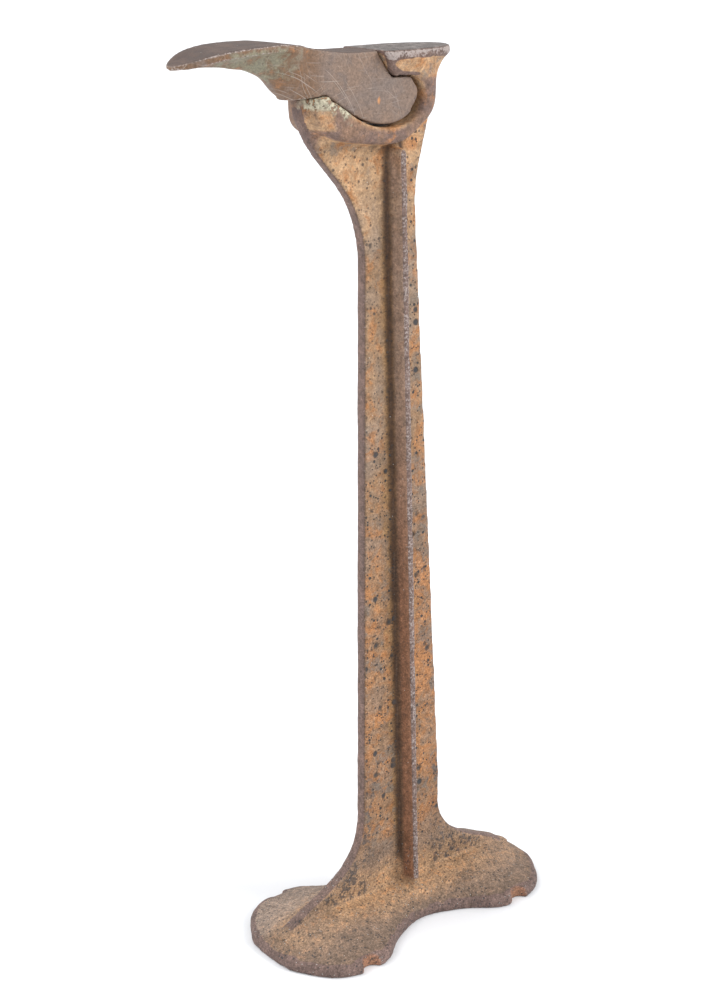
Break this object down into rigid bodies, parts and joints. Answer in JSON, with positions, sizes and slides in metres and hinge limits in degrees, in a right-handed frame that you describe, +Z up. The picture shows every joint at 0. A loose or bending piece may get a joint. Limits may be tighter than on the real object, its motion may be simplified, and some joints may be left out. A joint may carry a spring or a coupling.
{
  "type": "cobbler's shoe anvil",
  "caption": "Tall cast-iron cobbler's stand on a bow-tie foot, whose socket head and heel plate hold a removable sole-shaped last.",
  "frame": {"origin": "middle of the foot's plan, on the floor", "axes": "+Z up, +X from the toe of the last towards the heel plate, +Y across the foot, away from a person who has the toe on their left"},
  "size_m": [0.2905, 0.1142, 0.6178],
  "materials": {
    "stand_iron": "old cast iron under tan and orange rust, with dark worn edges and pitting",
    "last_iron": "old cast iron, dark brown and rubbed smooth, with fine scratches"
  },
  "bodies": {
    "stand": {"stand": "stand_iron"},
    "last": {"shoe_last": "last_iron"}
  },
  "joints": [
    {"name": "last_slide_out", "type": "slide", "parent": "stand", "child": "last", "axis": [0, 1, 0], "range_m": [-0.06, 0.06]}
  ]
}
